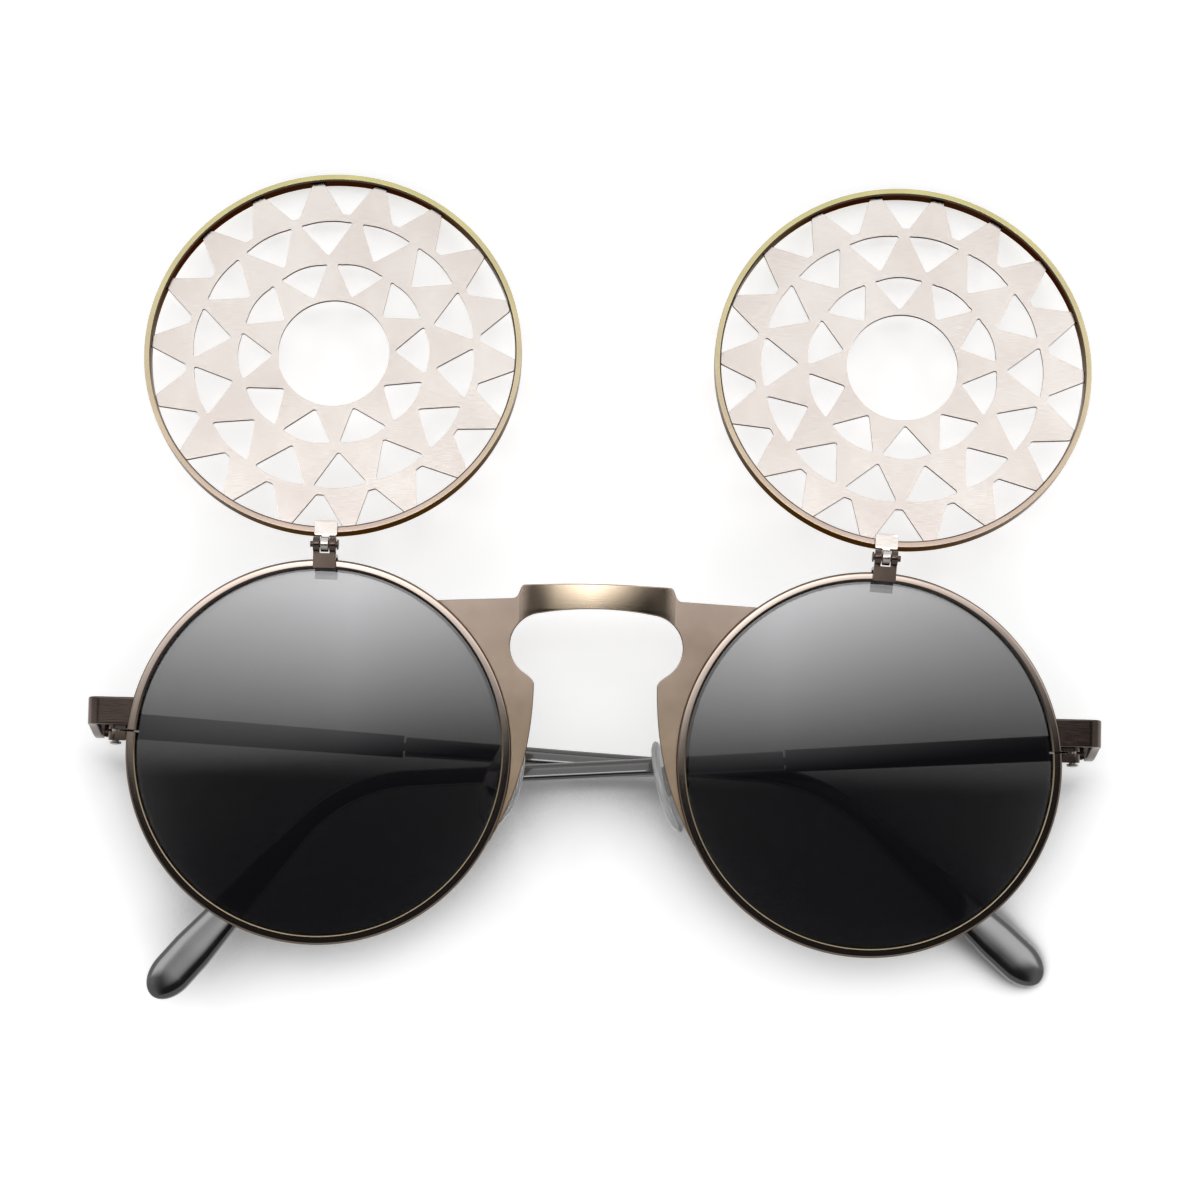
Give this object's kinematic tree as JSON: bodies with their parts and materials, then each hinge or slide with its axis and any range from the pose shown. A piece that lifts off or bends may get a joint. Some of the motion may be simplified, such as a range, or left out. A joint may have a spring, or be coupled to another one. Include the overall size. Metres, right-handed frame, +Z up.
{
  "type": "round flip-up sunglasses",
  "caption": "Round metal sunglasses with smoke lenses, folded temples and two hinged lattice covers that flip up from the lenses.",
  "frame": {"origin": "on the table under the middle of the folded pair's bounding box", "axes": "+X across the front, towards the right-hand lens as seen from above; +Y towards the flipped covers; +Z up, away from the table"},
  "size_m": [0.1338, 0.1118, 0.0155],
  "materials": {
    "brushed_bronze": "brushed taupe bronze plating",
    "dark_bronze": "glossy near-black bronze",
    "champagne_metal": "finely brushed pale rose champagne",
    "screw_steel": "turned steel",
    "smoke_lens": "clear smoke tint, pale at the top and dark at the bottom",
    "black_acetate": "polished black",
    "clear_silicone": "clear, slightly soft"
  },
  "bodies": {
    "front": {"bridge_plate": "brushed_bronze", "rim_left": "dark_bronze", "lens_left": "smoke_lens", "end_piece_left": "dark_bronze", "closing_block_upper_left": "dark_bronze", "closing_block_lower_left": "dark_bronze", "closing_screw_left": "screw_steel", "temple_hinge_front_left": "dark_bronze", "temple_hinge_screw_left": "screw_steel", "cover_hinge_bracket_left": "dark_bronze", "cover_hinge_pin_left": "dark_bronze", "nose_pad_box_left": "dark_bronze", "nose_pad_screw_left": "screw_steel", "nose_pad_arm_left": "dark_bronze", "rim_right": "dark_bronze", "lens_right": "smoke_lens", "end_piece_right": "dark_bronze", "closing_block_upper_right": "dark_bronze", "closing_block_lower_right": "dark_bronze", "closing_screw_right": "screw_steel", "temple_hinge_front_right": "dark_bronze", "temple_hinge_screw_right": "screw_steel", "cover_hinge_bracket_right": "dark_bronze", "cover_hinge_pin_right": "dark_bronze", "nose_pad_box_right": "dark_bronze", "nose_pad_screw_right": "screw_steel", "nose_pad_arm_right": "dark_bronze"},
    "temple_left": {"temple_hinge_rear_left": "dark_bronze", "temple_bar_left": "dark_bronze", "temple_tip_left": "black_acetate"},
    "cover_left": {"cover_ring_left": "champagne_metal", "cover_lattice_left": "champagne_metal", "cover_hinge_leaf_left": "champagne_metal"},
    "pad_left": {"nose_pad_left": "clear_silicone"},
    "temple_right": {"temple_hinge_rear_right": "dark_bronze", "temple_bar_right": "dark_bronze", "temple_tip_right": "black_acetate"},
    "cover_right": {"cover_ring_right": "champagne_metal", "cover_lattice_right": "champagne_metal", "cover_hinge_leaf_right": "champagne_metal"},
    "pad_right": {"nose_pad_right": "clear_silicone"}
  },
  "joints": [
    {"name": "temple_hinge_left", "type": "hinge", "parent": "front", "child": "temple_left", "pos_m": [-0.0643, -0.01969, 0.003], "axis": [0.0523, 0.9986, 0], "range_deg": [0, 93]},
    {"name": "temple_hinge_right", "type": "hinge", "parent": "front", "child": "temple_right", "pos_m": [0.0643, -0.01969, 0.003], "axis": [0.0698, -0.9976, 0], "range_deg": [0, 96.3]},
    {"name": "cover_hinge_left", "type": "hinge", "parent": "front", "child": "cover_left", "pos_m": [-0.03601, 0.00487, 0.01451], "axis": [1, -0.007, 0.0002], "range_deg": [0, 190.9]},
    {"name": "cover_hinge_right", "type": "hinge", "parent": "front", "child": "cover_right", "pos_m": [0.03781, 0.00483, 0.01451], "axis": [0.9982, -0.0593, 0.0016], "range_deg": [0, 190.9]},
    {"name": "nose_pad_rock_left", "type": "hinge", "parent": "front", "child": "pad_left", "pos_m": [-0.0128, -0.02564, 0.01066], "axis": [-0.7536, 0.2142, -0.6215], "range_deg": [-4, 4]},
    {"name": "nose_pad_rock_right", "type": "hinge", "parent": "front", "child": "pad_right", "pos_m": [0.0111, -0.02566, 0.00996], "axis": [0.3271, 0.0754, -0.942], "range_deg": [-4, 4]}
  ]
}
